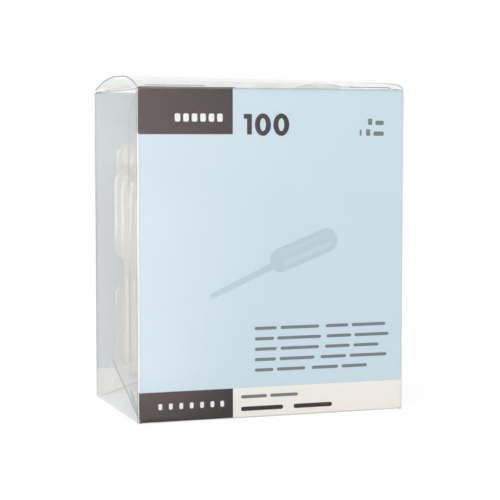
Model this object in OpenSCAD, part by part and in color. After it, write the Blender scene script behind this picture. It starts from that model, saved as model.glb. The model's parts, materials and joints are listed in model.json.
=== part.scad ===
// Clear folding box of dropper pipettes: one creased sheet of film, its tuck-in lid,
// and one hundred blow-moulded pipettes packed head to tail inside.
// Millimetres. +X right, +Y to the back, +Z up. The origin is the middle of the base.

/* [Box] */
// Outer width of the box
box_w = 123.2; // [122.5:0.1:130]
// Outer depth of the box, front to back
box_d = 79.5; // [79.4:0.1:84]
// Height of the walls
box_h = 144; // [142:0.5:160]
// Thickness of the clear film
film = 0.4; // [0.3:0.05:0.4]
// Outside radius of the four upright creases
crease_r = 0.8; // [0.5:0.1:1.5]
// Width of the glued seam inside the left wall
seam_w = 17; // [10:1:20]

/* [Lid] */
// Height of the lid's bow above the walls at its left end
bow_left = 5.95; // [5.5:0.05:7]
// Height of the lid's bow above the walls at its right end, where it is pressed flatter
bow_right = 4.4; // [4.3:0.05:6]
// Height of the lid's back crease above the walls
lid_lift = 1.1; // [0.8:0.1:1.5]
// Length of the tuck flap, down from the back crease
tuck_len = 15.2; // [10:0.1:16]
// Corner radius of the tuck flap
tuck_corner = 11; // [4:0.5:13]
// Gap between the lid's sides and the box's outer faces
lid_side_gap = 0.3; // [0.2:0.1:1]

/* [Dust flaps] */
// Length of the left dust flap
dust_left = 32; // [20:0.5:36]
// Length of the right dust flap
dust_right = 28; // [20:0.5:36]
// How far both dust flaps spring up from their creases
dust_lift = 1.35; // [0.5:0.05:1.35]
// Extra bow of the left dust flap's free end
dust_bow_left = 0.5; // [0:0.1:1.5]
// Extra bow of the right dust flap's free end
dust_bow_right = 2.6; // [0:0.1:3]

/* [Bottom flaps] */
// Front-to-back place of the ridge where the two long flaps lock
ridge_y = 12; // [10:0.5:13]
// Height of that ridge at the side walls
ridge_z = 20.7; // [16:0.1:20.7]
// Share of the ridge's height that the load presses down
ridge_sag = 0.115; // [0.11:0.005:0.2]
// Length of the short side flaps, measured along the floor
side_flap = 30; // [20:1:32]

/* [Pipette] */
// Overall length of a pipette
pip_len = 90; // [88:0.5:90]
// Length of its bulb, from the dome to the stem's root
bulb_len = 44; // [40:0.5:44]
// Outside diameter of the bulb
bulb_d = 12.9; // [12:0.1:12.9]
// Outside diameter of the stem where it leaves the bulb
root_d = 3.9; // [3.4:0.1:4]
// Outside diameter of the stem at its open tip
tip_d = 2.5; // [2.2:0.1:2.8]
// Wall of the moulding
pip_wall = 0.45; // [0.35:0.05:0.5]

/* [Packing] */
// Distance between neighbouring bulbs
pitch = 13.1; // [13.05:0.01:13.12]
// Free space between the left wall and the pipettes that stand bulb down
left_gap = 8.8; // [6:0.1:9]
// How much nearer to the left wall the last row that stands bulb down has slid
last_row_slide = 2; // [0:0.1:2]
// Pipettes along each upright row
cols = 8; // [6:1:8]
// Height of the lowest point of the bundle's highest row
bundle_z = 17.3; // [17.3:0.1:19]
// How much lower each row hangs for every millimetre away from that row
bundle_slope = 0.2; // [0.1:0.05:0.2]

/* [Hidden] */
$fn = 96;

half_w = box_w / 2;
half_d = box_d / 2;
in_w = half_w - film;               // inner face of a side wall
in_d = half_d - film;               // inner face of the front or back wall
film_colour = [0.84, 0.88, 0.90, 0.35];
milky = [0.93, 0.93, 0.90, 0.85];
bulb_r = bulb_d / 2;
lie_gap = 0.1;                      // air between things that rest on each other

// 0 to 1 with level ends, for a film that bends gently
function ease(t) = let (c = min(1, max(0, t))) c * c * (3 - 2 * c);

// ---------------------------------------------------------------- film helpers

// A rectangle with round corners, as an exact outline
module rounded_plate(w, d, r) {
    square([w - 2 * r, d], center = true);
    square([w, d - 2 * r], center = true);
    for (sx = [-1, 1], sy = [-1, 1])
        translate([sx * (w / 2 - r), sy * (d / 2 - r)]) circle(r);
}

// A bent film: top[i][j] are the points of its upper face, and the lower face is film below.
// The first index runs along +X or -X (turn = 1 or -1), the second along +Y.
module bent_film(top, turn = 1) {
    n = len(top);
    m = len(top[0]);
    low = n * m;
    function id(i, j) = i * m + j;
    function flip(f) = turn > 0 ? f : [f[2], f[1], f[0]];
    points = concat([for (row = top) each row],
                    [for (row = top) for (p = row) p - [0, 0, film]]);
    faces = concat(
        [for (i = [0:n - 2], j = [0:m - 2]) each [
            flip([id(i, j), id(i, j + 1), id(i + 1, j + 1)]),
            flip([id(i, j), id(i + 1, j + 1), id(i + 1, j)]),
            flip([low + id(i, j), low + id(i + 1, j + 1), low + id(i, j + 1)]),
            flip([low + id(i, j), low + id(i + 1, j), low + id(i + 1, j + 1)])]],
        [for (i = [0:n - 2]) each [
            flip([id(i, 0), id(i + 1, 0), low + id(i + 1, 0)]),
            flip([id(i, 0), low + id(i + 1, 0), low + id(i, 0)]),
            flip([id(i, m - 1), low + id(i + 1, m - 1), id(i + 1, m - 1)]),
            flip([id(i, m - 1), low + id(i, m - 1), low + id(i + 1, m - 1)])]],
        [for (j = [0:m - 2]) each [
            flip([id(0, j), low + id(0, j), low + id(0, j + 1)]),
            flip([id(0, j), low + id(0, j + 1), id(0, j + 1)]),
            flip([id(n - 1, j), low + id(n - 1, j + 1), low + id(n - 1, j)]),
            flip([id(n - 1, j), id(n - 1, j + 1), low + id(n - 1, j + 1)])]]);
    polyhedron(points, faces, convexity = 6);
}

// ---------------------------------------------------------------- the folded box

flap_reach = in_w - 0.5;            // half the width of the long bottom flaps
press_width = 5;                    // how far in from their side edges the load takes hold
// Height of the locked bottom flaps' lower face, before the load presses them down
function gable(y) = y < ridge_y
    ? ridge_z * (y + in_d) / (ridge_y + in_d)
    : ridge_z * (in_d - y) / (in_d - ridge_y);
// The load presses the flaps down everywhere but along their free side edges
function press(x) = 1 - ridge_sag * ease((flap_reach - abs(x)) / press_width);
// Height of the bottom flaps' upper face under the load
function floor_z(y) = gable(y) * (1 - ridge_sag) + film;

module walls() {
    difference() {
        linear_extrude(box_h - film / 2)
            difference() {
                rounded_plate(box_w, box_d, crease_r);
                rounded_plate(box_w - 2 * film, box_d - 2 * film, crease_r - film);
            }
        // the front wall stops short of the lid's crease
        translate([-half_w - 1, -half_d - 1, box_h - 0.5]) cube([box_w + 2, 2, 1]);
    }
}

// The glued seam: a tab of the front wall that lies inside the left wall
module seam() {
    edge = -in_d - film / 2;
    translate([-in_w - film / 2, 0, 0]) rotate([90, 0, 90]) linear_extrude(film * 1.5)
        polygon([[edge, 2], [edge + 0.8 * seam_w, 9], [edge + seam_w, 13.6],
                 [edge + seam_w, box_h - 13.6], [edge + 0.9 * seam_w, box_h - 10.3],
                 [edge + 0.5 * seam_w, box_h - 5.4], [edge, box_h - 1.5]]);
}

// A dust flap, folded in from the top of a side wall (side = -1 left, 1 right)
module dust_flap(side, length, bow) {
    steps_u = 14;
    steps_v = 16;
    front = -half_d + 2;
    back = half_d - 2;
    bent_film([for (i = [0:steps_u])
        let (u = 0.05 + (length - 0.05) * i / steps_u,
             inset = 4.2 * ease(u / 6),
             y0 = front + inset,
             y1 = back - inset)
        [for (j = [0:steps_v])
            let (v = j / steps_v)
            [side * (half_w - u),
             y0 + (y1 - y0) * v,
             box_h + dust_lift * ease(u / 6) + bow * pow(u / length, 2) * sin(180 * v)]]],
        turn = -side);
}

// The two long bottom flaps, locked along their ridge and standing up inside the box
module long_bottom_flaps() {
    steps = 8;
    left = [for (i = [0:steps]) -flap_reach + press_width * i / steps];
    right = [for (i = [steps:-1:0]) -left[i]];
    rows = [-in_d - film / 2, ridge_y, in_d + film / 2];
    bent_film([for (x = concat(left, right))
        [for (y = rows) [x, y, max(0, gable(y)) * press(x) + film]]]);
}

// A short side flap, under the long ones (side = -1 left, 1 right)
module short_bottom_flap(side) {
    angle = 26;
    reach = side_flap / cos(angle);
    rise = side_flap * tan(angle);
    front_end = -in_d + (rise + 1.2) * (ridge_y + in_d) / (ridge_z * (1 - ridge_sag));
    back_end = in_d - (rise + 1.2) * (in_d - ridge_y) / (ridge_z * (1 - ridge_sag));
    mirror([side > 0 ? 1 : 0, 0, 0])
        intersection() {
            translate([-in_w - film / 2, 0, 0]) rotate([0, -angle, 0])
                linear_extrude(film)
                    polygon([[0, -in_d + 3.5], [0, in_d - 3.5], [reach, back_end],
                             [reach, front_end]]);
            translate([-half_w + 0.05, -half_d, 0]) cube([box_w, box_d, box_h]);
        }
}

module clear_box() {
    color(film_colour) union() {
        walls();
        seam();
        dust_flap(-1, dust_left, dust_bow_left);
        dust_flap(1, dust_right, dust_bow_right);
        long_bottom_flaps();
        short_bottom_flap(-1);
        short_bottom_flap(1);
    }
}

// ---------------------------------------------------------------- the lid

hinge = [-half_d, box_h];                               // the front crease, in Y and Z
back_crease = [in_d - 0.24, box_h + lid_lift];
chord = norm(back_crease - hinge);
lid_tilt = atan2(lid_lift, back_crease[0] - hinge[0]);
tuck_angle = tuck_len / chord * 180 / PI;
lid_w = box_w - 2 * lid_side_gap;

// Runs the profile drawn in Y and Z along the whole width w, centred
module along_x(w) {
    translate([-w / 2, 0, 0]) rotate([90, 0, 90]) linear_extrude(w) children();
}

// A wedge with its tip at the origin, from angle a to angle b
module wedge(a, b, reach) {
    polygon([[0, 0], reach * [cos(a), sin(a)], reach * [cos((a + b) / 2), sin((a + b) / 2)],
             reach * [cos(b), sin(b)]]);
}

// The bow at both ends of the lid: how far in from the front crease, and the share of the
// end's full height there at the left and at the right
bow_table = [[0, 0, 0], [0.4, 0.052, 0.091], [1.1, 0.105, 0.218], [2.2, 0.17, 0.34],
             [3.8, 0.27, 0.46], [5.8, 0.395, 0.56], [8.8, 0.546, 0.66], [12.8, 0.697, 0.745],
             [17.8, 0.84, 0.82], [23.8, 0.941, 0.9], [29.8, 0.983, 0.96], [36.8, 1, 1],
             [43.8, 0.992, 1], [50.8, 0.941, 0.966], [57.8, 0.824, 0.88], [63.8, 0.689, 0.77],
             [69.8, 0.496, 0.6], [74.3, 0.328, 0.42], [77.1, 0.235, 0.31], [78.77, 0.188, 0.255]];
// How far along the lid a place is on its way from the left end's bow to the right end's
function flatter(x) = pow((x + lid_w / 2) / lid_w, 1.3);
// Outer face of the lid at x: a list of points in Y and Z
function lid_outer(x) = [for (b = bow_table)
    [hinge[0] + b[0], hinge[1] + (1 - flatter(x)) * bow_left * b[1] + flatter(x) * bow_right * b[2]]];
// The same taken in by the film's thickness, square to the surface
function lid_inner(outer) = [for (k = [0:len(outer) - 1])
    let (t = outer[min(k + 1, len(outer) - 1)] - outer[max(k - 1, 0)])
    outer[k] + film * [t[1], -t[0]] / norm(t)];

// The bowed panel: film from the front crease to the back crease
module lid_panel() {
    steps = 14;
    outlines = [for (i = [0:steps])
        let (x = lid_w * (i / steps - 0.5), outer = lid_outer(x), inner = lid_inner(outer))
        [for (p = concat(outer, [for (k = [len(inner) - 1:-1:0]) inner[k]])) [x, p[0], p[1]]]];
    n = len(outlines[0]);
    half = n / 2;
    function id(i, k) = i * n + k % n;
    faces = concat(
        [for (i = [0:steps - 1], k = [0:n - 1]) each [
            [id(i, k), id(i, k + 1), id(i + 1, k + 1)], [id(i, k), id(i + 1, k + 1), id(i + 1, k)]]],
        [for (k = [0:half - 2]) each [
            [id(0, k), id(0, n - 1 - k), id(0, n - 2 - k)], [id(0, k), id(0, n - 2 - k), id(0, k + 1)],
            [id(steps, k), id(steps, n - 2 - k), id(steps, n - 1 - k)],
            [id(steps, k), id(steps, k + 1), id(steps, n - 2 - k)]]]);
    polyhedron([for (o = outlines) each o], faces, convexity = 6);
}

// The tuck flap: an arc about the front crease, so that it slides out past the back wall
module tuck_profile() {
    translate(hinge) intersection() {
        difference() {
            circle(chord, $fn = 256);
            circle(chord - film, $fn = 256);
        }
        wedge(lid_tilt - tuck_angle, lid_tilt, 2 * chord);
    }
}

// The tuck flap seen from behind: straight at the crease, round at both free corners
module tuck_outline() {
    low = box_h + lid_lift - tuck_len;
    w = lid_w - 1.4;
    translate([-w / 2, low + tuck_corner]) square([w, tuck_len + 4]);
    translate([-w / 2 + tuck_corner, low - 1]) square([w - 2 * tuck_corner, tuck_len + 4]);
    for (s = [-1, 1]) translate([s * (w / 2 - tuck_corner), low + tuck_corner])
        circle(tuck_corner);
}

module tuck_lid() {
    color(film_colour) union() {
        lid_panel();
        intersection() {
            along_x(lid_w) tuck_profile();
            translate([0, half_d + 5, 0]) rotate([90, 0, 0]) linear_extrude(15) tuck_outline();
        }
    }
}

// ---------------------------------------------------------------- a pipette

// Half of the outline, from the dome at 0 to the tip, taken in by the wall for the inside
module pipette_outline(inset, end) {
    r = bulb_r - inset;
    shoulder = 4.3 - inset;
    neck = bulb_len - 7;
    intersection() {
        union() {
            translate([0, bulb_r]) circle(r);
            translate([0, bulb_r]) square([r, neck - bulb_r]);
            translate([bulb_r - 4.3, neck]) circle(shoulder);
            translate([0, neck]) square([bulb_r - 4.3, shoulder]);
            polygon([[0, neck], [bulb_r - 3.2 - inset, neck + 4], [root_d / 2 - inset, bulb_len],
                     [root_d / 2 - 0.35 - inset, bulb_len + 12], [tip_d / 2 - inset, end],
                     [0, end]]);
        }
        square([bulb_d, end]);
    }
}

// One blown pipette, bulb at the origin and stem up +Z, with an open bore
module pipette() {
    rotate_extrude($fn = 48) difference() {
        pipette_outline(0, pip_len);
        pipette_outline(pip_wall, pip_len + 1);
    }
}

// ---------------------------------------------------------------- how they are packed

first_x = -in_w + left_gap + bulb_r;
// Rows are numbered from the front; those with the bulb down fill the depth,
// and those with the bulb up stand in the gaps between them. All of these but the last
// row start with one that stands before the others, against the left wall.
function down_y(row) = (row - 3.5) * pitch;
function up_y(row) = (row - 3) * pitch;
function down_first_x(row) = first_x - (row < 6 ? 0 : last_row_slide);
function up_first_x(row) = first_x + (row < 5 ? -0.5 * pitch : 0.5 * pitch - last_row_slide / 2);
top_row_y = pitch / 2;
// Height that friction holds a row at, above the sloping flaps
function bundle(y) = bundle_z - bundle_slope * abs(y - top_row_y);
// Lowest height of a round dome, or of a flat tip, that clears the flaps
function dome_rest(y) =
    floor_z(y) + bulb_r * (1 / cos(y < ridge_y ? 21 : 35) - 1) + lie_gap;
function tip_rest(y) = max([for (d = [-1, 0, 1]) floor_z(min(in_d, y + d * tip_d / 2))]) + lie_gap;
function down_z(row) = max(bundle(down_y(row)), dome_rest(down_y(row)));
function up_z(row) = max(bundle(up_y(row)), tip_rest(up_y(row)));
// Small differences between neighbours, the same on every run
slack = 0.35;
function jitter(row, seed) = rands(0, slack, cols, 100 * seed + row);

module bulb_down_row(row) {
    lift = jitter(row, 1);
    color(milky) for (i = [0:cols - 1])
        translate([down_first_x(row) + i * pitch, down_y(row), down_z(row) + lift[i]])
            pipette();
}

module bulb_up_row(row) {
    // the row over the ridge stands on it, so it has no slack
    lift = jitter(row, 2) * (abs(up_y(row) - ridge_y) < tip_d ? 0 : 1);
    color(milky) for (i = [0:cols - 1])
        translate([up_first_x(row) + i * pitch, up_y(row), up_z(row) + lift[i] + pip_len])
            mirror([0, 0, 1]) pipette();
}

// Height of the axis of a pipette lying along X over the bulb-down row of that number:
// clear of the tips below it and of the domes beside them
function domes_under(row) = [for (n = [row - 1, row]) if (n >= 1 && n <= 5)
    up_z(n) + slack + pip_len - bulb_r];
function lying_left_z(row) =
    max(down_z(row) + slack + pip_len + bulb_r,
        max(domes_under(row)) + sqrt(pow(bulb_d + lie_gap, 2) - pow(pitch / 2, 2))) + lie_gap;
// A stem in the groove between two lying bulbs
groove = sqrt(pow(bulb_r + 1.55 + lie_gap, 2) - pow(pitch / 2, 2));
function lying_right_z(row) = max(lying_left_z(row), lying_left_z(row + 1)) + groove;

// Distance of each lying pipette's dome from the middle of the box, front row first
left_ends = [54, 55, 56.5, 56.5, 56.5, 53.5];
right_ends = [57.5, 56, 58, 55.5, 57];
second_layer_end = 57;

module lying_pipette(end, y, z, side) {
    translate([side * end, y, z]) rotate([0, -90 * side, 0]) pipette();
}

module lying_bulbs_left() {
    color(milky) {
        for (row = [1:6]) lying_pipette(left_ends[row - 1], down_y(row), lying_left_z(row), -1);
        // one more rests on the front one
        lying_pipette(second_layer_end, down_y(1), lying_left_z(1) + bulb_d + 2 * lie_gap, -1);
    }
}

module lying_bulbs_right() {
    color(milky)
        for (row = [1:5]) lying_pipette(right_ends[row - 1], up_y(row), lying_right_z(row), 1);
}

clear_box();
tuck_lid();
bulb_down_row(1);  // bulb_down_row_1
bulb_down_row(2);  // bulb_down_row_2
bulb_down_row(3);  // bulb_down_row_3
bulb_down_row(4);  // bulb_down_row_4
bulb_down_row(5);  // bulb_down_row_5
bulb_down_row(6);  // bulb_down_row_6
bulb_up_row(1);  // bulb_up_row_1
bulb_up_row(2);  // bulb_up_row_2
bulb_up_row(3);  // bulb_up_row_3
bulb_up_row(4);  // bulb_up_row_4
bulb_up_row(5);  // bulb_up_row_5
lying_bulbs_left();
lying_bulbs_right();
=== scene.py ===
# %% [markdown]
# # A clear folding box of dropper pipettes
#
# The object is a shop box made from one creased sheet of clear plastic film. It
# holds one hundred small droppers, each blown in one piece from milky soft
# plastic. Ink covers the front and back walls; the side walls, the lid and the
# base are bare film, so the droppers show through them.
#
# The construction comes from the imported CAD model. This lesson gives it its
# finish: clear film with folds and cut edges, printed ink, moulded droppers.

# %% Load the frame
import json

import bpy
import numpy as np
from math import cos, hypot, pi, radians, sin, sqrt
from mathutils import Euler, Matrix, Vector
from mathutils.bvhtree import BVHTree


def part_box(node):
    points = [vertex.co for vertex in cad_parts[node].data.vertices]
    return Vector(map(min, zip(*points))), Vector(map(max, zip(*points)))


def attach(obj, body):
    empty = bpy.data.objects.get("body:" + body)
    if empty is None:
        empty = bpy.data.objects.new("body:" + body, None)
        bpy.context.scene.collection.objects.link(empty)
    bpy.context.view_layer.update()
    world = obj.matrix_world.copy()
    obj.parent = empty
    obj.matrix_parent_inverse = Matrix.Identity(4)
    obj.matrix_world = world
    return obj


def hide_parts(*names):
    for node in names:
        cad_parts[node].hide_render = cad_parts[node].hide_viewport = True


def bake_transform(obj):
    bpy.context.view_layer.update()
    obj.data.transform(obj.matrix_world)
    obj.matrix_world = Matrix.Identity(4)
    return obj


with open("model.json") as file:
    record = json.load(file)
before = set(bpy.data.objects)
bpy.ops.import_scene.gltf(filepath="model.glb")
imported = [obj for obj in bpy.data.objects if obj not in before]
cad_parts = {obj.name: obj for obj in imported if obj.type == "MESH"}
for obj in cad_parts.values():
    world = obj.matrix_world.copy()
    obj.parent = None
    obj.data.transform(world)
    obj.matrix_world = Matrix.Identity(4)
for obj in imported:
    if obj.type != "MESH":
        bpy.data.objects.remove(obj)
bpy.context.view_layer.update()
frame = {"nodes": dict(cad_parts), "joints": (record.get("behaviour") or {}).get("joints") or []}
nodes = frame["nodes"]

# %% [markdown]
# ## Sizes
#
# Every place below is measured on the frame, so the finish fits the model. The
# lid's hinge line is the crease along the front wall's top edge, which gives the
# height of the walls and the plane of the front wall at once.

# %% Sizes read from the frame
MM = 0.001
FILM = 0.4 * MM  # thickness of the film
hinge = Vector(frame["joints"][0]["pos_m"])
wall_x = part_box("clear_box")[1].x  # outer face of the side walls
wall_y = -hinge.y  # outer face of the front and back walls
wall_z = hinge.z  # top crease
print(f"walls {2e3 * wall_x:.1f} x {2e3 * wall_y:.1f} x {1e3 * wall_z:.1f} mm")

# The printed areas, in millimetres
EDGE = 1e3 * wall_x - 0.28  # the ink reaches into the folds
TOP = 1e3 * wall_z - 0.1  # and up to the lid's crease
FOOT = 0.35  # lower edge of the ink
BAND = 13.25  # top of the band at the foot
SPLIT = -18.9  # right edge of both black blocks
BLOCK = 124.1  # lower edge of the upper black block
CORNER_R = 1.1  # radius of the blue field's round corner

# %% [markdown]
# ## Writing materials in code
#
# A material is a small graph of nodes. A few helpers keep the graphs readable:
# `add` makes a node and fills its inputs, `shader` does the same for a shader,
# `mixed` mixes two shaders, `maths` makes one step of arithmetic, `between` one
# smooth step and `stripe` two of them. Colours are written as a painter would read
# them off a chart, from 0 to 255, and turned into the linear values that light is
# counted in.


# %% Helpers for node graphs
def ink_chart(red, green, blue):
    """A colour from the 0-255 chart as linear red, green, blue and alpha."""
    shares = [v / 255 for v in (red, green, blue)]
    return (*[s / 12.92 if s <= 0.04045 else ((s + 0.055) / 1.055) ** 2.4 for s in shares], 1)


def add(tree, kind, inputs=None, **settings):
    """Makes a shader node. An input is given a plain value or another node's output."""
    node = tree.nodes.new("ShaderNode" + kind)
    for name, value in settings.items():
        setattr(node, name, value)
    for key, value in (inputs or {}).items():
        if isinstance(value, bpy.types.NodeSocket):
            tree.links.new(value, node.inputs[key])
        else:
            node.inputs[key].default_value = value
    return node


def maths(tree, operation, a, b=0.0, c=0.0, clamp=False):
    """One step of arithmetic, as the output to use next."""
    step = add(tree, "Math", {0: a, 1: b, 2: c}, operation=operation, use_clamp=clamp)
    return step.outputs[0]


def between(tree, value, low, high, start=0.0, end=1.0):
    """value from low to high, turned smoothly into start to end."""
    step = add(tree, "MapRange",
               {"Value": value, "From Min": low, "From Max": high, "To Min": start, "To Max": end},
               interpolation_type="SMOOTHSTEP")
    return step.outputs["Result"]


def stripe(tree, value, low, high, soft):
    """1 where value is from low to high, with soft sides of the given width."""
    return maths(tree, "MULTIPLY", between(tree, value, low, low + soft),
                 between(tree, value, high, high - soft))


def shader(tree, kind, inputs):
    """Makes a shader and gives its output."""
    return add(tree, "Bsdf" + kind, inputs).outputs[0]


def mixed(tree, share, first, second):
    """Two shaders mixed: share is how much there is of the second."""
    return add(tree, "MixShader", {0: share, 1: first, 2: second}).outputs[0]


def mixed_colour(tree, share, first, second):
    """Two colours mixed: share is how much there is of the second."""
    return add(tree, "Mix", {"Factor": share, "A": first, "B": second},
               data_type="RGBA").outputs["Result"]


def object_place(tree):
    """The place on the piece itself, as three outputs named X, Y and Z."""
    place = add(tree, "TexCoord").outputs["Object"]
    return add(tree, "SeparateXYZ", {0: place}).outputs


def new_material(name):
    """An empty material, its node graph and the socket that its surface goes into."""
    material = bpy.data.materials.new(name)
    material.use_nodes = True
    tree = material.node_tree
    tree.nodes.clear()
    return material, tree, add(tree, "OutputMaterial").inputs["Surface"]


def new_group(name, inputs, outputs):
    """An empty node group with named sockets: its graph, its inputs and its output node."""
    group = bpy.data.node_groups.new(name, "ShaderNodeTree")
    for label, kind, value in inputs:
        socket = group.interface.new_socket(label, in_out="INPUT", socket_type="NodeSocket" + kind)
        socket.default_value = value
    for label, kind in outputs:
        group.interface.new_socket(label, in_out="OUTPUT", socket_type="NodeSocket" + kind)
    entry = group.nodes.new("NodeGroupInput")
    leave = group.nodes.new("NodeGroupOutput")
    return group, entry.outputs, leave.inputs


def place_group(tree, group, values):
    """Places a node group in a material, with that material's own values."""
    return add(tree, "Group", values, node_tree=group).outputs


# %% [markdown]
# ## Three effects that several materials share
#
# Thin plastic is never quite even. `cloudiness` is the slow change in tone across
# a moulding or a sheet. `scuffs` are the hairlines that boxes get from rubbing
# against each other in a carton: long thin noise in two directions, kept only
# where it peaks. `ink_lay` is how ink lies on film: a fine screen of dots, a slow
# drift in density, and a faint unevenness that catches the light.
#
# They could be painted as images, but noise read in the object's own space has
# no seams and no limit to its sharpness.

# %% Shared effects
cloudiness, entry, leave = new_group(
    "cloudiness", [("Size", "Float", 60.0), ("Depth", "Float", 0.2)], [("Value", "Float")])
tree = cloudiness
place = add(tree, "TexCoord").outputs["Object"]
noise = add(tree, "TexNoise", {"Vector": place, "Scale": entry["Size"], "Detail": 3.0})
centred = maths(tree, "SUBTRACT", noise.outputs["Fac"], 0.5)
tree.links.new(maths(tree, "MULTIPLY_ADD", centred, entry["Depth"], 1.0), leave["Value"])

scuffs, entry, leave = new_group("scuffs", [("Amount", "Float", 0.5)], [("Mask", "Float")])
tree = scuffs
place = add(tree, "TexCoord").outputs["Object"]
lines = []
for tilt, stretch in ((0.35, (1.0, 1.0, 0.02)), (-0.8, (1.0, 1.0, 0.03))):
    turned = add(tree, "Mapping", {"Vector": place, "Rotation": (tilt, tilt, 0.0),
                                   "Scale": stretch})
    hair = add(tree, "TexNoise", {"Vector": turned.outputs[0], "Scale": 2600.0, "Detail": 1.0})
    lines.append(between(tree, hair.outputs["Fac"], 0.68, 0.78))
patches = add(tree, "TexNoise", {"Vector": place, "Scale": 45.0, "Detail": 2.0})
rubbed = between(tree, patches.outputs["Fac"], 0.5, 0.75)
both = maths(tree, "MAXIMUM", lines[0], lines[1])
mask = maths(tree, "MULTIPLY", maths(tree, "MULTIPLY", both, rubbed), entry["Amount"])
tree.links.new(mask, leave["Mask"])

ink_lay, entry, leave = new_group(
    "ink_lay",
    [("Colour", "Color", (0.5, 0.5, 0.5, 1.0)), ("Drift", "Float", 0.03)],
    [("Colour", "Color"), ("Roughness", "Float"), ("Height", "Float")])
tree = ink_lay
place = add(tree, "TexCoord").outputs["Object"]
slow = add(tree, "TexNoise", {"Vector": place, "Scale": 30.0, "Detail": 2.0})
dots = add(tree, "TexVoronoi", {"Vector": place, "Scale": 3400.0})
drift = maths(tree, "SUBTRACT", slow.outputs["Fac"], 0.5)
density = maths(tree, "MULTIPLY_ADD", drift, entry["Drift"], 1.0)
screen = maths(tree, "MULTIPLY_ADD", dots.outputs["Distance"], 0.02, density)
shade = add(tree, "VectorMath", {0: entry["Colour"], "Scale": screen}, operation="SCALE")
tree.links.new(shade.outputs[0], leave["Colour"])
tree.links.new(maths(tree, "MULTIPLY_ADD", slow.outputs["Fac"], 0.12, 0.3), leave["Roughness"])
tree.links.new(dots.outputs["Distance"], leave["Height"])
print("shared effects:", [group.name for group in bpy.data.node_groups])

# %% [markdown]
# ## Clear film
#
# Film as thin as this doesn't bend what is seen through it, so it needs no
# refraction. What the eye reads is how much it mirrors: a twentieth of the light
# head on, and nearly all of it edge on. So each face of the film is a see-through
# shader mixed with a mirror by that rule, with a little haze where the sheet is
# scuffed. Lamps shine through such a mix, and the droppers inside get their light.
#
# A fold is the same film, bent where a creasing rule has pressed it. The left folds carry a
# painted highlight, a white haze that shows them as bright lines. The right ones are clear but for
# a painted shade, a thin grey rim at the very tip. Beside each fold, and under each dust flap, a
# dark hairline of painted shade lies on the side wall. All of these are found from their place on
# the box, and they change where a black block is beside them.
#
# The lid wears a painted sheen: seen nearly edge on, a share of matt white grows and turns the lid
# a warm white. It is lit from above where the lid is seen from outside, and lit through the film
# where it is seen from inside. The white seen from outside is darker and takes a smaller share, a
# painted shade against the stronger light from above. The dust flaps lie under the lid and wear
# the same.

# %% What all clear film shares
FILM_TINT = ink_chart(253, 254, 254)  # what a face lets through
HAZE_WHITE = ink_chart(236, 239, 239)
HEAD_ON = 0.045  # how much a face mirrors when it is seen straight on
BOW = 14 * MM  # how far from its folds a wall bows


def glaze(tree, under, bump, roughness):
    """A gloss over the shader under: it mirrors little head on and nearly all edge on."""
    facing = add(tree, "LayerWeight", {"Blend": 0.5, "Normal": bump}).outputs["Facing"]
    grazing = maths(tree, "POWER", facing, 5.0)
    share = maths(tree, "MULTIPLY_ADD", grazing, 1.0 - HEAD_ON, HEAD_ON)
    mirror = shader(tree, "Anisotropic",
                    {"Color": (1, 1, 1, 1), "Roughness": roughness, "Normal": bump})
    return mixed(tree, share, under, mirror)


def film_surface(tree, haze, haze_colour):
    """See-through film with its mirror, and haze by the given share, as one shader.
    The walls are a little wavy, and they bow in towards the upright folds."""
    place = add(tree, "TexCoord").outputs["Object"]
    waves = add(tree, "TexNoise", {"Vector": place, "Scale": 28.0, "Detail": 1.0})
    across = maths(tree, "ABSOLUTE", object_place(tree)["Y"])
    bowed = between(tree, across, wall_y - BOW, wall_y, 0.0, -2.2)
    height = maths(tree, "ADD", waves.outputs["Fac"], bowed)
    bump = add(tree, "Bump", {"Height": height, "Strength": 0.15, "Distance": 0.0008}).outputs[0]
    clear = shader(tree, "Transparent", {"Color": FILM_TINT})
    dull = shader(tree, "Principled", {"Base Color": haze_colour, "Roughness": 0.45})
    return mixed(tree, haze, glaze(tree, clear, bump, 0.06), dull)


def clouds_and_rubs(tree):
    """The slow clouds of a sheet of film, and the faint haze that clouds and rubs give it."""
    cloud = place_group(tree, cloudiness, {"Size": 35.0, "Depth": 1.2})["Value"]
    rubs = place_group(tree, scuffs, {"Amount": 0.12})["Mask"]
    return cloud, maths(tree, "MULTIPLY_ADD", cloud, 0.01, rubs)


# %% Painted shade beside the folds and under the dust flaps
def by_blocks(tree, height):
    """1 at the height of the two black blocks, and 0 between them."""
    return maths(tree, "MAXIMUM", between(tree, height, BLOCK * MM, (BLOCK + 1) * MM),
                 between(tree, height, (BAND + 1) * MM, BAND * MM))


def painted_hairline_shade(tree):
    """Painted shade on a side wall: a dark hairline beside its upright folds and under its dust
    flap's."""
    place = object_place(tree)
    line = stripe(tree, maths(tree, "ABSOLUTE", place["Y"]), wall_y - 2.0 * MM,
                  wall_y - 0.5 * MM, 0.3 * MM)
    on_side = maths(tree, "GREATER_THAN", maths(tree, "ABSOLUTE", place["X"]), wall_x - FILM / 2)
    # x and y have the same sign at the two corners that have a black block beside them
    by_ink = maths(tree, "GREATER_THAN", maths(tree, "MULTIPLY", place["X"], place["Y"]), 0.0)
    darker = maths(tree, "MULTIPLY", by_ink, by_blocks(tree, place["Z"]))
    upright = maths(tree, "MULTIPLY", line, maths(tree, "MULTIPLY_ADD", darker, 0.68, 0.3))
    level = stripe(tree, place["Z"], wall_z - 1.0 * MM, wall_z - 0.25 * MM, 0.15 * MM)
    both = maths(tree, "MAXIMUM", upright, maths(tree, "MULTIPLY", level, 0.35))
    return maths(tree, "MULTIPLY", both, on_side)


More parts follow.
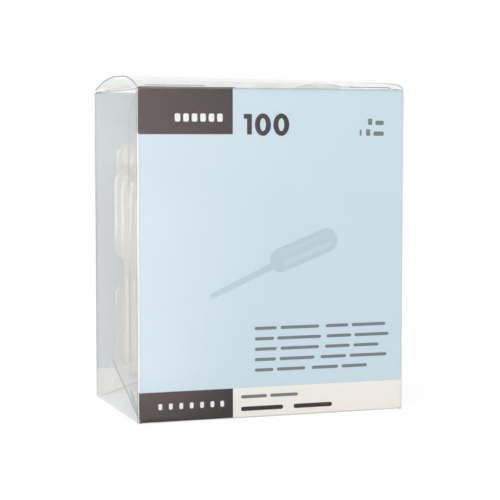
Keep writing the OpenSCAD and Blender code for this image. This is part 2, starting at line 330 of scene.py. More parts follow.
# %% Film of the walls, and film under ink
film, tree, surface = new_material("clear_film")
cloud, haze = clouds_and_rubs(tree)
# painted shade: the dark hairline adds to the haze and darkens its colour
line = painted_hairline_shade(tree)
haze = maths(tree, "ADD", haze, line, clamp=True)
haze_and_painted_light_colour = mixed_colour(tree, maths(tree, "MULTIPLY", line, 4.0, clamp=True), HAZE_WHITE,
                    ink_chart(48, 50, 50))
tree.links.new(film_surface(tree, haze, haze_and_painted_light_colour), surface)

inked_film, tree, surface = new_material("film_under_ink")
cloud = place_group(tree, cloudiness, {"Size": 35.0, "Depth": 1.2})["Value"]
veil = shader(tree, "Principled", {"Base Color": ink_chart(225, 228, 228), "Roughness": 0.5})
clear = shader(tree, "Transparent", {"Color": FILM_TINT})
haze = maths(tree, "MULTIPLY", cloud, 0.01, clamp=True)
tree.links.new(mixed(tree, haze, clear, veil), surface)

# %% Film of the lid
lid_film, tree, surface = new_material("lid_film")
cloud, haze = clouds_and_rubs(tree)
body = film_surface(tree, haze, HAZE_WHITE)
# painted sheen: matt white that grows towards the edge-on view, darker and weaker on the side seen
# from above
glancing = maths(tree, "POWER", add(tree, "LayerWeight", {"Blend": 0.5}).outputs["Facing"], 3.0)
facing = add(tree, "SeparateXYZ", {0: add(tree, "TexCoord").outputs["Normal"]}).outputs
from_above = maths(tree, "GREATER_THAN", facing["Z"], 0.0)
strength = maths(tree, "MULTIPLY_ADD", from_above, -0.37, 0.6)
painted_sheen_share = maths(tree, "MULTIPLY", maths(tree, "MULTIPLY", glancing, cloud), strength, clamp=True)
lit_through = shader(tree, "Translucent", {"Color": ink_chart(252, 249, 245)})
painted_dim_top = shader(tree, "Diffuse", {"Color": ink_chart(212, 210, 207)})
painted_sheen = mixed(tree, from_above, lit_through, painted_dim_top)
tree.links.new(mixed(tree, painted_sheen_share, body, painted_sheen), surface)

# %% Folds
folds, tree, surface = new_material("folded_film")
rubs = place_group(tree, scuffs, {"Amount": 0.3})["Mask"]
place = object_place(tree)
inset = maths(tree, "SUBTRACT", wall_x, maths(tree, "ABSOLUTE", place["X"]))
by_block = by_blocks(tree, place["Z"])
reach = maths(tree, "MULTIPLY_ADD", by_block, -0.24 * MM, 0.55 * MM)  # from the side wall inwards
# painted highlight: a white haze along the left folds, weaker beside a black block
painted_fold_highlight = maths(tree, "MULTIPLY", maths(tree, "MULTIPLY_ADD", by_block, -0.25, 0.75),
                 between(tree, maths(tree, "SUBTRACT", inset, reach), 0.06 * MM, -0.06 * MM))
# painted shade: a grey rim at the right folds' tip, stronger beside a black block
tip = maths(tree, "MULTIPLY", maths(tree, "MULTIPLY_ADD", by_block, 0.3, 0.35),
            between(tree, inset, 0.34 * MM, 0.16 * MM))
at_right = maths(tree, "GREATER_THAN", place["X"], 0.0)
painted_fold_light = add(tree, "Mix", {"Factor": at_right, "A": painted_fold_highlight, "B": tip}, data_type="FLOAT")
haze = maths(tree, "ADD", maths(tree, "ADD", painted_fold_light.outputs["Result"], 0.04), rubs, clamp=True)
# the painted shade's grey colour at the right folds' tip
painted_rim_grey = maths(tree, "MULTIPLY", at_right, maths(tree, "MULTIPLY", tip, 3.0, clamp=True))
haze_and_painted_light_colour = mixed_colour(tree, painted_rim_grey, ink_chart(252, 253, 253), ink_chart(110, 114, 116))
tree.links.new(film_surface(tree, haze, haze_and_painted_light_colour), surface)

# %% Cut edges: painted shade, darkest round the lid where the bright room is behind them
cut_edge, tree, surface = new_material("cut_film_edge")
cloud = place_group(tree, cloudiness, {"Size": 180.0, "Depth": 0.5})["Value"]
# painted shade: the cut edges' dark grey stands for light leaving the film there, darker and more
# solid near the walls' top
painted_top_shade = between(tree, object_place(tree)["Z"], wall_z - 3 * MM, wall_z - 1 * MM)
painted_edge_light = maths(tree, "MULTIPLY", cloud, maths(tree, "MULTIPLY_ADD", painted_top_shade, -0.75, 1.0))
shade = add(tree, "VectorMath", {0: ink_chart(84, 86, 85)[:3], "Scale": painted_edge_light}, operation="SCALE")
gloss = maths(tree, "MULTIPLY", cloud, 0.25)
edge_face = shader(tree, "Principled", {"Base Color": shade.outputs[0], "Roughness": gloss})
clear = shader(tree, "Transparent", {"Color": FILM_TINT})
solid_share = maths(tree, "MULTIPLY_ADD", painted_top_shade, 0.13, 0.85)
tree.links.new(mixed(tree, solid_share, clear, edge_face), surface)
print("film materials:", film.name, lid_film.name, inked_film.name, folds.name, cut_edge.name)

# %% [markdown]
# ## Which faces are sheet, fold or cut edge
#
# The CAD model has the film's real thickness, so its cut edges are real faces,
# 0.4 mm wide. They look darker than the sheet, because light travels along inside
# the film and leaves it there. To find them, look straight into each face: the
# far side of a sheet is 0.4 mm away, while behind a cut edge there is a whole
# wall's width of film. The upright folds are the faces within the corners, the
# inner faces of the front and back walls carry the ink, and the level faces at the
# top are the dust flaps.

# %% Give each face of the film its finish
SHEET_DEPTH = 1.3 * MM  # two layers of film and a little more
FOLD_SIZE = 0.85 * MM  # the folds' outside radius, rounded up
SEAM_WIDTH = 20 * MM
ROOF_TOP, RIDGE_Y = 21.5 * MM, 12 * MM  # where the two long bottom flaps meet
STEP_IN = 0.01 * MM
FINISHES = ("sheet", "fold", "edge", "inked", "flap")


def finish_of(face, depth):
    """Which finish a face of the film gets: depth is how much film lies behind it."""
    x, y, z = abs(face.center.x), face.center.y, face.center.z
    if depth is not None and depth > SHEET_DEPTH:
        # The glued seam and the top creases have much film behind them too
        in_seam = (face.center.x < 0.9 * MM - wall_x and z < wall_z - 0.1 * MM
                   and -wall_y + 0.6 * MM < y < -wall_y + SEAM_WIDTH)
        in_crease = z > wall_z - 0.7 * MM and (y < -wall_y + 0.6 * MM or x > wall_x - 0.1 * MM)
        return "sheet" if in_seam or in_crease else "edge"
    # The front bottom flap rises inside the box, with its side edges by the side walls
    by_side_wall = wall_x - FILM - 1.3 * MM < x < wall_x - FILM - 0.1 * MM
    if by_side_wall and FILM < z < ROOF_TOP and y < RIDGE_Y:
        return "edge"
    if x > wall_x - FOLD_SIZE and abs(y) > wall_y - FOLD_SIZE and abs(face.normal.z) < 0.1:
        return "fold"
    if abs(abs(y) - wall_y + FILM) < 0.02 * MM and abs(face.normal.y) > 0.9:
        return "inked"
    if z > wall_z - 0.35 * MM and x < wall_x - 2 * MM:
        return "flap"
    return "sheet"


def finish_film(node, sheet):
    """Puts the five finishes on a CAD node of film."""
    mesh = node.data
    mesh.materials.clear()
    for material in (sheet, folds, cut_edge, inked_film, lid_film):
        mesh.materials.append(material)
    corners = [v.co for v in mesh.vertices]
    solid = BVHTree.FromPolygons(corners, [p.vertices for p in mesh.polygons])
    counts = dict.fromkeys(FINISHES, 0)
    for face in mesh.polygons:
        inward = -face.normal
        depth = solid.ray_cast(face.center + STEP_IN * inward, inward)[3]
        finish = finish_of(face, depth)
        face.material_index = FINISHES.index(finish)
        counts[finish] += 1
    print(node.name, "faces:", counts)


finish_film(nodes["clear_box"], film)
finish_film(nodes["tuck_lid"], lid_film)

# %% [markdown]
# ## Milky soft plastic
#
# The droppers are blown from soft polythene. It is neither clear nor white: each
# wall lets some light straight through, scatters more of it forwards, and has a
# waxy sheen. Real scattering inside such thin walls would take very long to
# render. Instead each face mixes a see-through share, a share that glows with
# the light behind it, and a waxy surface, which gives the same look.

# %% Milky plastic
milky, tree, surface = new_material("milky_plastic")
cloud = place_group(tree, cloudiness, {"Size": 140.0, "Depth": 0.25})["Value"]
rubs = place_group(tree, scuffs, {"Amount": 0.4})["Mask"]
shade = add(tree, "VectorMath", {0: ink_chart(244, 241, 235)[:3], "Scale": cloud},
            operation="SCALE").outputs[0]
skin = add(tree, "Bump", {"Height": cloud, "Strength": 0.3, "Distance": 0.0006}).outputs[0]
wax = shader(tree, "Principled", {"Base Color": shade, "Roughness": 0.6, "Normal": skin})
glow = shader(tree, "Translucent", {"Color": shade})
clear = shader(tree, "Transparent", {"Color": ink_chart(252, 251, 249)})
milkiness = maths(tree, "MULTIPLY_ADD", cloud, 0.2, 0.04)
body = mixed(tree, milkiness, clear, mixed(tree, 0.45, wax, glow))
waxy = maths(tree, "MULTIPLY_ADD", rubs, 0.3, 0.11)
tree.links.new(glaze(tree, body, skin, waxy), surface)
print("droppers' material:", milky.name)

# %% [markdown]
# ## The shape of a dropper
#
# A dropper is blown in a two-part mould: a bulb with a round dome, a short
# shoulder, and a stem that tapers to an open tip. The CAD model has that outline.
# Seen close, the moulding also has a parting line down both sides, a small nick
# across the dome where the mould pinched the tube shut, a bulb that is never
# perfectly round, and a stem that is never perfectly straight.
#
# So each dropper is built as rings of points along its axis, outside and inside,
# and every ring is nudged by those small faults. Lathing a curve would be
# shorter, but it could only make perfectly round ones.

# %% Outline of a dropper
LENGTH, BULB_R, WALL = 90 * MM, 6.45 * MM, 0.45 * MM
NECK = 37 * MM  # from the dome's end to where the shoulder starts
SHOULDER = 4.3 * MM  # radius of the shoulder's corner
# Distances from the dome's end, and the stem's radius at each
STEM = ([41 * MM, 44 * MM, 56 * MM, 90 * MM], [3.25 * MM, 1.95 * MM, 1.6 * MM, 1.25 * MM])
PARTING, NICK = 0.05 * MM, 0.14 * MM  # how far the parting line and the pinch stand proud


def radius_at(s):
    """Outside radius at a distance s from the dome's end."""
    if s < BULB_R:
        return sqrt(max(0.0, BULB_R**2 - (BULB_R - s) ** 2))
    if s < NECK:
        return BULB_R
    drop = SHOULDER**2 - (s - NECK) ** 2
    corner = BULB_R - SHOULDER + sqrt(drop) if drop > 0 else 0.0
    stem = float(np.interp(s, *STEM))
    smooth, gained = 0.25 * MM, 0.03 * MM  # the shoulder flows into the stem
    return 0.5 * (corner + stem + hypot(corner - stem, smooth)) - gained


# Where the rings are: degrees round the dome, then distances from its end
DOME_TURNS = [6, 14, 24, 36, 50, 66, 80]
OUTSIDE = (
    [BULB_R * (1 - cos(radians(a))) for a in DOME_TURNS]
    + [MM * s for s in (8, 13, 18, 23, 28, 33, 37, 38.4, 39.4, 40.2, 40.7, 41.0, 41.3)]
    + [MM * s for s in (41.8, 42.6, 43.4, 44.4, 46, 50, 56, 62, 68, 74, 80, 86, 90)]
)
INSIDE = (
    [MM * s for s in (90, 86, 78, 70, 62, 54, 47, 44, 42.4, 41.2, 40.2, 39, 37)]
    + [MM * s for s in (30, 22, 14, 8)]
    + [BULB_R * (1 - cos(radians(a))) for a in reversed(DOME_TURNS)]
)
FIRST_TURNS = [-5, -2.5, 0, 2.5, 5]  # close together, across the parting line
TURNS = np.radians([side + t for side in (0, 180)
                    for t in FIRST_TURNS + list(np.linspace(5, 175, 13))[1:-1]])
print("a dropper has", len(OUTSIDE) + len(INSIDE), "rings of", len(TURNS), "points")

# %% [markdown]
# The rings are closed into one watertight skin: the outside runs from the dome to
# the tip, turns over the tip's cut rim, and comes back inside to the dome.


# %% One dropper as points and faces
def dropper(chance, bend, up):
    """Points (dome at the origin, stem along +Z) and faces of one dropper. bend is how
    far the tip strays, and up is the direction it strays in, or None for any."""
    spin, oval_turn, stray = chance.uniform(0, 2 * pi, 3)
    oval = chance.uniform(0.02, 0.05) * MM
    toward = np.array(up if up is not None else (cos(stray), sin(stray)))
    turned = TURNS + spin
    line = np.exp(-((np.degrees(TURNS) + 90) % 180 - 90) ** 2 / 4.5)  # 1 on the parting line
    points, rings = [], []

    def ring(s, inner):
        """Adds the ring of points at a distance s from the dome's end."""
        r = radius_at(s)
        if inner:
            r = max(r - WALL, 0.0) if s > BULB_R else max(0.0, r * (1 - WALL / BULB_R))
        r = np.full(len(TURNS), r)
        if not inner:
            r += PARTING * line * min(1.0, s / (2 * MM))
            r += oval * np.cos(2 * turned + oval_turn) * sin(pi * min(1.0, s / NECK))
        lean = toward * bend * max(0.0, (s - NECK) / (LENGTH - NECK)) ** 2
        x, y = r * np.cos(turned) + lean[0], r * np.sin(turned) + lean[1]
        z = np.full(len(TURNS), s)
        if inner and s < BULB_R:
            z += WALL * (1 - s / BULB_R)
        elif s < 1.5 * MM:  # the pinch nick
            across, along = r * np.sin(TURNS), r * np.cos(TURNS)
            z += NICK * np.exp(-(across / (0.22 * MM)) ** 2 - (along / (2 * MM)) ** 4)
        first = len(points)
        points.extend(zip(x, y, z))
        rings.append(range(first, first + len(TURNS)))

    for s in OUTSIDE:
        ring(s, inner=False)
    for s in INSIDE:
        ring(s, inner=True)
    faces = []
    for low, high in zip(rings, rings[1:]):
        for i in range(len(TURNS)):
            j = (i + 1) % len(TURNS)
            faces.append((low[i], low[j], high[j], high[i]))
    for rim, pole in ((rings[0], NICK), (rings[-1], WALL)):
        points.append((0.0, 0.0, pole))
        end = len(points) - 1
        for i in range(len(TURNS)):
            j = (i + 1) % len(TURNS)
            faces.append((rim[j], rim[i], end) if rim is rings[0] else (rim[i], rim[j], end))
    return np.array(points), faces


# %% [markdown]
# ## Measure where each dropper lies
#
# The CAD model holds the droppers by the row, so one node has up to eight of
# them. Faces that share corners belong to the same dropper. Spreading the lowest
# number across shared corners until nothing changes gives each dropper its own
# number, and the box round each number is the place to put the new one.


# %% Find the separate solids of a node
def loose_boxes(node):
    """Lowest and highest corner of each separate solid in a CAD node."""
    mesh = node.data
    places = np.zeros(3 * len(mesh.vertices))
    mesh.vertices.foreach_get("co", places)
    places = places.reshape(-1, 3)
    _, welded = np.unique(np.round(places * 1e6).astype(np.int64), axis=0, return_inverse=True)
    edges = np.zeros(2 * len(mesh.edges), np.int64)
    mesh.edges.foreach_get("vertices", edges)
    a, b = welded.ravel()[edges.reshape(-1, 2)].T
    label = np.arange(welded.max() + 1)
    while True:
        low = np.minimum(label[a], label[b])
        fresh = label.copy()
        np.minimum.at(fresh, a, low)
        np.minimum.at(fresh, b, low)
        fresh = fresh[fresh]
        if (fresh == label).all():
            break
        label = fresh
    owner = label[welded.ravel()]
    return [(places[owner == n].min(0), places[owner == n].max(0)) for n in np.unique(owner)]


# %% [markdown]
# ## Fill the box
#
# Each row becomes one new piece that stands for the CAD row. A row's name says
# which way its bulbs point. Upright stems may lean any way, because there is room
# between the bulbs. A lying stem has another dropper under it, so it only bows
# upwards.

# %% Build the rows of droppers
# name start: (axis along the stem, direction the tip leans in, how far it strays)
LAYS = {
    "bulb_down": (Vector((0, 0, 1)), None, 0.35 * MM),
    "bulb_up": (Vector((0, 0, -1)), None, 0.35 * MM),
    "lying_bulbs_left": (Vector((1, 0, 0)), (0, 1), 0.3 * MM),
    "lying_bulbs_right": (Vector((-1, 0, 0)), (0, 1), 0.3 * MM),
}


def place_dropper(points, low, high, stem):
    """Turns a dropper so that its stem points along stem, and sets its dome in the box."""
    low, high = np.array(low), np.array(high)
    middle = (low + high) / 2
    axis = np.array(stem)
    side = np.array((0, 1, 0)) if abs(axis[0]) > 0.5 else np.array((1, 0, 0))
    up = np.cross(axis, side)
    if up[2] < 0:
        side, up = -side, -up
    start = middle - axis * (high - low).dot(np.abs(axis)) / 2
    return start + points[:, :1] * side + points[:, 1:2] * up + points[:, 2:] * axis


def build_row(node_name, seed):
    """One piece with all the droppers of a CAD row."""
    start = next(key for key in LAYS if node_name.startswith(key))
    stem, up, bend = LAYS[start]
    chance = np.random.default_rng(seed)
    points, faces = [], []
    boxes = loose_boxes(nodes[node_name])
    for low, high in boxes:
        own, own_faces = dropper(chance, bend * chance.uniform(0.3, 1.0), up)
        offset = sum(len(p) for p in points)
        points.append(place_dropper(own, low, high, stem))
        faces += [tuple(offset + i for i in face) for face in own_faces]
    mesh = bpy.data.meshes.new(node_name.replace("bulb", "droppers_bulb"))
    mesh.from_pydata([tuple(p) for p in np.concatenate(points)], [], faces)
    mesh.materials.append(milky)
    mesh.shade_smooth()
    piece = bpy.data.objects.new(mesh.name, mesh)
    bpy.context.scene.collection.objects.link(piece)
    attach(piece, "box")
    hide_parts(node_name)
    return len(boxes)


rows = [name for name in sorted(nodes) if "bulb" in name]
total = sum(build_row(name, seed) for seed, name in enumerate(rows))
print("droppers:", total, "in", len(rows), "pieces")

# %% [markdown]
# ## Ink
#
# The two big walls are printed on the inside of the film, so the film's own gloss
# lies over the ink. Ink on film isn't quite opaque: a few hundredths of the light
# gets through, which lets the droppers show as faint upright shades. Every ink
# colour is the same recipe with another pigment, so one function makes them all.


# %% Ink colours
def ink(name, pigment, drift=0.03, cover=0.965, gloss=0.15):
    """One ink. drift is how much its density wanders, and cover the light that it stops."""
    material, tree, surface = new_material(name)
    lay = place_group(tree, ink_lay, {"Colour": pigment, "Drift": drift})
    grain = add(tree, "Bump", {"Height": lay["Height"], "Strength": 0.08, "Distance": 0.00005})
    flat = shader(tree, "Principled", {"Base Color": lay["Colour"], "Roughness": lay["Roughness"],
                                       "Specular IOR Level": gloss, "Normal": grain.outputs[0]})
    through = shader(tree, "Translucent", {"Color": lay["Colour"]})
    clear = shader(tree, "Transparent", {"Color": (1, 1, 1, 1)})
    tree.links.new(mixed(tree, cover, clear, mixed(tree, 0.12, flat, through)), surface)
    return material


INKS = [
    ink("ink_pale_blue", ink_chart(213, 228, 236)),
    ink("ink_cream", ink_chart(253, 245, 238)),
    ink("ink_warm_black", ink_chart(44, 34, 35), 0.2, gloss=0.0),
    ink("ink_white", ink_chart(246, 245, 242)),
    ink("ink_grey", ink_chart(118, 122, 127), 0.1),
    ink("ink_sea_grey", ink_chart(192, 212, 218), 0.06),
    ink("ink_mist", ink_chart(200, 219, 226), 0.06),
    ink("ink_backing", ink_chart(222, 230, 235), 0.06, cover=0.6),
    # painted shade: the thin grey line along the lid's crease
    ink("ink_painted_crease_shade", ink_chart(118, 122, 127), 0.1, cover=0.6),
]
BLUE, CREAM, BLACK, WHITE, GREY, SEA, MIST, BACKING, CREASE_SHADE = range(len(INKS))
print("inks:", [material.name for material in INKS])

# %% [markdown]
# ## The printed design
#
# The design is generic: a pale blue field, two warm black blocks, a cream band, a
# plain count, and a small picture of a dropper. Where a shop's box would carry
# words, short bars stand in a line. Each shape is cut as its own thin flat solid,
# so its edges stay sharp at any distance. The places are in millimetres from the
# middle of the wall's lower edge.


# %% Shapes to print with
def oblong(x0, x1, z0, z1, r=0.0):
    """Outline of a rectangle, with round corners if r is given."""
    if not r:
        return [(x0, z0), (x1, z0), (x1, z1), (x0, z1)]
    outline = []
    for cx, cz, first in ((x1 - r, z0 + r, -90), (x1 - r, z1 - r, 0), (x0 + r, z1 - r, 90),
                          (x0 + r, z0 + r, 180)):
        outline += [(cx + r * cos(radians(first + a)), cz + r * sin(radians(first + a)))
                    for a in range(0, 91, 15)]
    return outline


def zero(x0, x1, z0, z1, stroke_x, stroke_z, steps=32):
    """The figure 0, an oval ring, as the outlines of the quads that it is made of."""
    cx, cz, rx, rz = (x0 + x1) / 2, (z0 + z1) / 2, (x1 - x0) / 2, (z1 - z0) / 2
    quads = []
    for k in range(steps):
        a, b = 2 * pi * k / steps, 2 * pi * (k + 1) / steps
        quads.append([(cx + rx * cos(a), cz + rz * sin(a)), (cx + rx * cos(b), cz + rz * sin(b)),
                      (cx + (rx - stroke_x) * cos(b), cz + (rz - stroke_z) * sin(b)),
                      (cx + (rx - stroke_x) * cos(a), cz + (rz - stroke_z) * sin(a))])
    return quads


def along(start, end, spans):
    """An outline round the line from start to end: spans are (share, half width) pairs."""
    dx, dz = end[0] - start[0], end[1] - start[1]
    size = hypot(dx, dz)
    nx, nz = -dz / size, dx / size
    left = [(start[0] + t * dx + w * nx, start[1] + t * dz + w * nz) for t, w in spans]
    right = [(start[0] + t * dx - w * nx, start[1] + t * dz - w * nz) for t, w in spans]
    return right + left[::-1]


# %% Where everything is printed
def fields(main):
    """The large areas with their inks: main is the ink of the largest one."""
    corner = oblong(0, EDGE, BAND, TOP, CORNER_R)[7:14]  # only the top right one is round
    return [
        (main, [(-EDGE, BAND), (EDGE, BAND), *corner, (SPLIT, TOP), (SPLIT, BLOCK),
                (-EDGE, BLOCK)]),
        (BLACK, oblong(-EDGE, SPLIT, BLOCK, TOP)),
        (BLACK, oblong(-EDGE, SPLIT, FOOT, BAND)),
        (CREAM, oblong(SPLIT, EDGE, FOOT, BAND)),
    ]


shapes = []
# The upper black field's row of plain blocks, and the lower one's
for x in (-45.0, -41.2, -37.4, -33.6, -29.8, -26.0):
    shapes.append((WHITE, oblong(x, x + 2.5, 129.5, 133.0, 0.7)))
for x in (-52.7, -48.0, -43.3, -38.6, -33.9, -29.2, -24.7):
    shapes.append((WHITE, oblong(x, x + 1.7, 5.5, 8.1, 0.5)))
# The count
shapes.append((BLACK, [(-12.4, 124.0), (-10.2, 124.0), (-10.2, 132.9), (-13.9, 132.9),
                       (-13.9, 130.8), (-12.4, 130.8)]))
for x in (-8.8, -0.3):
    shapes += [(BLACK, quad) for quad in zero(x, x + 7.4, 123.4, 133.2, 2.35, 2.1)]
# Two short notes at the right
for x0, x1, z0, z1 in ((44.4, 46.4, 128.3, 131.1), (48.0, 52.0, 128.3, 130.2),
                       (40.4, 41.3, 123.5, 126.3), (43.5, 45.5, 123.5, 126.4),
                       (47.1, 52.0, 123.5, 125.4)):
    shapes.append((GREY, oblong(x0, x1, z0, z1, 0.35)))
# Five lines of small print, as bars as long as words
SMALL_PRINT = [
    (39.2, [(-8.8, 1.4), (3.2, 21.4), (24.5, 35.4), (37.0, 53.3)]),
    (34.6, [(-8.8, 0.1), (1.7, 22.3), (24.9, 36.8), (38.3, 54.9)]),
    (30.0, [(-8.8, 1.4), (3.2, 21.3), (24.2, 36.1), (37.9, 50.1)]),
    (25.4, [(-8.8, 1.0), (2.7, 19.2), (22.1, 34.3), (36.0, 54.0)]),
    (20.8, [(-8.8, -0.2), (1.5, 14.8), (17.9, 30.5), (32.2, 44.4)]),
]
for z, words in SMALL_PRINT:
    shapes += [(GREY, oblong(x0, x1, z - 0.7, z + 0.7, 0.65)) for x0, x1 in words]
# The cream band's two lines, the upper one thin and the lower one bold
shapes += [(GREY, oblong(x0, x1, 8.6, 10.0, 0.65)) for x0, x1 in ((-15.2, -3.2), (-1.6, 11.4))]
shapes += [(BLACK, oblong(x0, x1, 3.0, 4.9, 0.8)) for x0, x1 in ((-15.2, 4.4), (9.4, 27.6))]
print("printed shapes:", len(shapes))

# %% [markdown]
# The picture of a dropper is drawn as it would be in one pale ink: the bulb, the
# stem, and two lighter streaks along the bulb where it shines.

# %% The pictured dropper
bulb_start, bulb_end = (-0.9, 67.3), (29.6, 79.2)
stem_root, stem_tip = (1.0, 67.2), (-29.3, 53.6)
bulb_length, bulb_half = 32.7, 5.35  # half of the bulb's width
dome = bulb_half / bulb_length  # the dome's share of the length
spans = [(0.0, 1.6), (0.008, 3.0), (0.03, 4.1), (0.07, 4.9), (0.12, bulb_half)]
spans += [(1 - dome * (1 - sin(radians(a))), bulb_half * cos(radians(a)))
          for a in range(0, 90, 15)] + [(1.0, 0.05)]
pictured = [
    (SEA, along(bulb_start, bulb_end, spans)),
    (SEA, along(stem_root, stem_tip, [(0.05, 1.6), (0.5, 1.35), (0.97, 1.15), (1.0, 0.7)])),
]
streaks = [((4.6, 67.2), (27.6, 76.2), 1.1), ((2.4, 71.4), (22.4, 79.2), 0.4)]
glints = [(MIST, along(start, end, [(0.0, 0.25 * w), (0.04, w), (0.96, w), (1.0, 0.25 * w)]))
          for start, end, w in streaks]
print("pictured dropper:", len(pictured) + len(glints), "shapes")

# %% [markdown]
# Each layer of ink is two hundredths of a millimetre thick. The last layer is a
# thin pale backing, which keeps the contents from darkening the blue. It covers
# the small shapes too, so from inside the box only the large fields show.

# %% Print the walls
LAYER = 0.02 * MM  # one layer of ink
PITCH = 1.3 * LAYER  # from one layer to the next
GAP = 0.6 * LAYER  # from the film to the first layer


def print_wall(name, side):
    """The ink on one wall: side is -1 for the front and 1 for the back."""
    points, faces, colours = [], [], []

    def lay_down(colour, outline, outer, inner):
        """One flat solid of ink between two depths behind the film."""
        n, first = len(outline), len(points)
        for depth in (outer, inner):
            y = side * (wall_y - FILM - depth)
            points.extend((-side * x * MM, y, z * MM) for x, z in outline)
        faces.append([first + i for i in range(n)])
        faces.append([first + n + i for i in reversed(range(n))])
        for i in range(n):
            j = (i + 1) % n
            faces.append([first + j, first + i, first + n + i, first + n + j])
        colours.extend([colour] * (n + 2))

    for number, layer in enumerate((glints, shapes + pictured, fields(BLUE), fields(BACKING))):
        for colour, outline in layer:
            outer = number * PITCH + GAP
            lay_down(colour, outline, outer, outer + LAYER)
    mesh = bpy.data.meshes.new(name)
    mesh.from_pydata(points, [], faces)
    for material in INKS:
        mesh.materials.append(material)
    mesh.polygons.foreach_set("material_index", colours)
    mesh.validate()
    piece = bpy.data.objects.new(name, mesh)
    bpy.context.scene.collection.objects.link(piece)
    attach(piece, "box")
    print(name, "faces:", len(faces))


print_wall("front_print", -1)
print_wall("back_print", 1)

# %% [markdown]
# ## The lid's crease
#
# In the CAD model the lid is a body of its own, and a hair of space parts it from the front wall
# so that it can turn. On the real box the film runs on through the crease. This narrow strip
# closes the space. The black block's ink runs on under it, and over the blue field it carries a
# thin grey line, a painted shade along the crease.

# %% The strip through the crease
PROFILE = [(0.02, -0.6), (0.0, -0.25), (0.0, 0.0), (0.2, 0.2), (0.5, 0.46)]  # inwards, up
UNDERSIDE = (0.1, -0.06)  # from the upper skin to the lower one, inwards and up
CLEAR, BLACK_INK, PAINTED_CREASE_LINE = range(3)
strip_x = np.linspace(0.5 - EDGE, EDGE - 0.5, 41)
across, count = len(PROFILE), len(strip_x)
skin = across * count  # points in the upper skin, and as many in the lower one
points = [(x * MM, hinge.y + MM * (y + under * UNDERSIDE[0]),
           hinge.z + MM * (z + under * UNDERSIDE[1]))
          for under in (0, 1) for x in strip_x for y, z in PROFILE]


def strip_ink(x, span):
    """What lies under the strip at x, on one span of its profile."""
    if span < 2:
        return CLEAR
    if x < SPLIT:
        return BLACK_INK
    # over the blue field, the grey line is a painted shade along the crease
    return PAINTED_CREASE_LINE if span == 2 else CLEAR


faces, finishes = [], []
for i in range(count - 1):
    for j in range(across - 1):
        a, b = i * across + j, (i + 1) * across + j
        faces += [(a, b, b + 1, a + 1), (skin + a, skin + a + 1, skin + b + 1, skin + b)]
        finishes += [CLEAR, strip_ink(strip_x[i], j)]
rim = ([(i, 0) for i in range(count)] + [(count - 1, j) for j in range(1, across)]
       + [(i, across - 1) for i in range(count - 2, -1, -1)]
       + [(0, j) for j in range(across - 2, 0, -1)])
rim = [i * across + j for i, j in rim]
for a, b in zip(rim, rim[1:] + rim[:1]):
    faces.append((b, a, skin + a, skin + b))
    finishes.append(CLEAR)
mesh = bpy.data.meshes.new("lid_crease")
mesh.from_pydata(points, [], faces)
for material in (film, INKS[BLACK], INKS[CREASE_SHADE]):
    mesh.materials.append(material)
mesh.polygons.foreach_set("material_index", finishes)
mesh.shade_smooth()
crease = bpy.data.objects.new("lid_crease", mesh)
bpy.context.scene.collection.objects.link(crease)
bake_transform(crease)
print("crease strip:", len(faces), "faces")

# %% [markdown]
# ## Floor and backdrop
#
# The box stands on a plain white floor in front of a white surround. To keep both at an even
# white, what the camera sees of them is mostly a plain glow, and the rest is a matt surface that
# still takes the box's soft shadow. Under the box the glow fades, because little light gets there.
# What mirrors see is an even white too, but for a painted reflection: to mirror rays only, a fan
# of floor ahead of the box and to its left, and the surround straight ahead, glow a warm white as
# if a large softbox lit them, and near the box's foot the floor's reflection is darker, a painted
# shade. No lamp stands there. The film's front mirrors that as a soft warm sheen. All other light
# treats the floor as plain matt white.

# %% Floor
FLOOR_SIZE = 6.0  # metres


def painted_reflection_colour(tree, painted_glow_share):
    """Painted reflection: what mirrors see, from an even white to the warm glow of a softbox that
    no lamp stands for.
    """
    return mixed_colour(tree, painted_glow_share, (0.95, 0.95, 0.95, 1), (3.2, 2.5, 2.45, 1))


def watched_directly(tree, seen):
    """1 where the camera sees a thing itself or through clear film, from the light path."""
    return maths(tree, "MAXIMUM", seen["Is Camera Ray"], seen["Is Transmission Ray"])


floor_white, tree, surface = new_material("floor_white")
seen = add(tree, "LightPath").outputs
place = object_place(tree)
beside = maths(tree, "MAXIMUM",
               maths(tree, "SUBTRACT", maths(tree, "ABSOLUTE", place["X"]), wall_x),
               maths(tree, "SUBTRACT", maths(tree, "ABSOLUTE", place["Y"]), wall_y))
near = between(tree, beside, -3 * MM, 1 * MM, 0.2, 0.82)  # the glow fades under the box
far = between(tree, beside, 60 * MM, 400 * MM, 0.0, 0.18)
share = maths(tree, "MULTIPLY", watched_directly(tree, seen), maths(tree, "ADD", near, far))
matt = shader(tree, "Diffuse", {"Color": (0.92, 0.92, 0.92, 1)})
plain = add(tree, "Emission", {"Color": (1, 1, 1, 1), "Strength": 1.05}).outputs[0]

# A painted reflection: to mirror rays, a fan of floor that starts at the box and widens forwards
# glows warm, as if a softbox lit it
ahead = maths(tree, "MAXIMUM", maths(tree, "SUBTRACT", maths(tree, "MULTIPLY", place["Y"], -1.0),
                                     wall_y), 0.0)
aside = maths(tree, "ADD", maths(tree, "MULTIPLY_ADD", ahead, -0.33, 0.03), place["X"])
fan = maths(tree, "DIVIDE", aside, maths(tree, "MULTIPLY_ADD", ahead, 0.1, 0.03))
painted_glow_share = maths(tree, "MULTIPLY", between(tree, fan, 0.6, -1.0),
               between(tree, ahead, 0.0, 15 * MM))
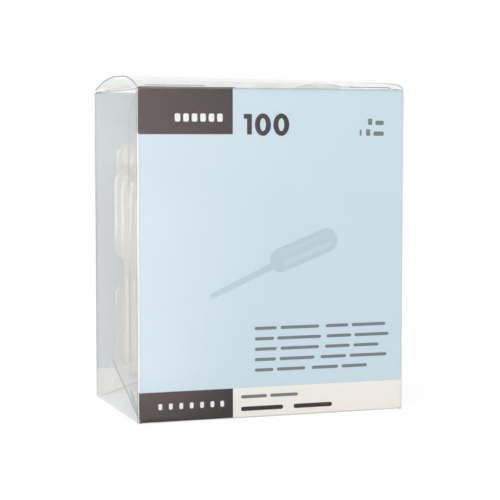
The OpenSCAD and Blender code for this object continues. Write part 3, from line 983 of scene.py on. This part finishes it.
# painted shade: the floor's painted reflection is darker near the box's foot
painted_foot_shade = maths(tree, "MULTIPLY", maths(tree, "GREATER_THAN", ahead, 0.0),
               between(tree, ahead, 0.15, 0.0, 0.0, 0.45))  # the floor near the box's foot
painted_reflection = add(tree, "Emission", {"Color": painted_reflection_colour(tree, painted_glow_share),
                                  "Strength": maths(tree, "SUBTRACT", 1.0, painted_foot_shade)}).outputs[0]
watched = mixed(tree, share, matt, plain)
tree.links.new(mixed(tree, seen["Is Glossy Ray"], watched, painted_reflection), surface)

half = FLOOR_SIZE / 2
mesh = bpy.data.meshes.new("floor")
mesh.from_pydata([(-half, -half, 0), (half, -half, 0), (half, half, 0), (-half, half, 0)],
                 [], [(0, 1, 2, 3)])
mesh.materials.append(floor_white)
floor = bpy.data.objects.new("floor", mesh)
bpy.context.scene.collection.objects.link(floor)
print("floor:", FLOOR_SIZE, "m square")

# %% World
world = bpy.data.worlds.new("surround")
bpy.context.scene.world = world
world.use_nodes = True
tree = world.node_tree
tree.nodes.clear()
seen = add(tree, "LightPath").outputs
ambient = add(tree, "Background", {"Color": (0.98, 0.99, 1.0, 1), "Strength": 0.65}).outputs[0]
white = add(tree, "Background", {"Color": (1, 1, 1, 1), "Strength": 1.0}).outputs[0]
watched = mixed(tree, watched_directly(tree, seen), ambient, white)
# painted reflection: to mirror rays only, the surround straight ahead of the box glows warm, as a
# softbox would
forwards = add(tree, "VectorMath", {0: add(tree, "TexCoord").outputs["Generated"],
                                    1: (0.0, -1.0, 0.0)}, operation="DOT_PRODUCT")
painted_glow_share = between(tree, forwards.outputs["Value"], 0.932, 0.982)
painted_reflection = add(tree, "Background", {"Color": painted_reflection_colour(tree, painted_glow_share),
                                    "Strength": 1.0}).outputs[0]
around = mixed(tree, seen["Is Glossy Ray"], watched, painted_reflection)
add(tree, "OutputWorld", {"Surface": around})
print("surround:", world.name)

# %% [markdown]
# ## Lamps
#
# Three large soft lamps, as in a small product studio. The main one is high in
# front on the left. A weaker one on the right keeps the far side open. An upright
# one behind on the left shines in through the left wall and lights the droppers'
# edges. All are much wider than the box, so shadows and highlights stay soft.

# %% Lamps
BOX_MIDDLE = Vector((0, 0, 0.07))


def softbox(name, place, width, height, power):
    """A soft lamp turned towards the middle of the box."""
    lamp = bpy.data.lights.new(name, "AREA")
    lamp.shape, lamp.size, lamp.size_y, lamp.energy = "RECTANGLE", width, height, power
    holder = bpy.data.objects.new(name, lamp)
    holder.location = place
    holder.rotation_euler = (BOX_MIDDLE - Vector(place)).to_track_quat("-Z", "Y").to_euler()
    bpy.context.scene.collection.objects.link(holder)


softbox("main_lamp", (-0.9, -1.1, 1.1), 0.9, 0.9, 13.0)
softbox("fill_lamp", (1.1, -0.8, 0.7), 0.9, 0.9, 4.5)
softbox("edge_lamp", (-0.93, 0.75, 0.35), 0.5, 1.1, 6.0)
print("lamps:", [lamp.name for lamp in bpy.data.lights])

# %% [markdown]
# ## Camera
#
# A long lens from about five box heights away, a little to the left and just
# below the lid, so that the front shows square and the left side as a narrow
# strip.

# %% Camera
STAND = (-1.607, -4.786, 0.848)  # in box heights
TILT, TURN = 4.03, 18.73  # degrees downwards, and to the right
optics = bpy.data.cameras.new("camera")
optics.lens, optics.sensor_width = 113.55, 36.0
optics.clip_start, optics.clip_end = 0.05, 20.0
camera = bpy.data.objects.new("camera", optics)
camera.location = [share * wall_z for share in STAND]
camera.rotation_euler = Euler((radians(90 - TILT), 0, radians(-TURN)))
bpy.context.scene.collection.objects.link(camera)
bpy.context.scene.camera = camera
print(f"camera {camera.location.length / wall_z:.1f} box heights away, lens {optics.lens:.1f} mm")

# %% [markdown]
# ## Last settings
#
# A look through the pile crosses dozens of see-through faces, so the limit on
# those is raised. Colours are shown as they are, with no film look on top.

# %% View settings
scene = bpy.context.scene
scene.view_settings.view_transform = "Standard"
scene.cycles.transparent_max_bounces = 96
scene.cycles.max_bounces = 20
scene.cycles.glossy_bounces = 10
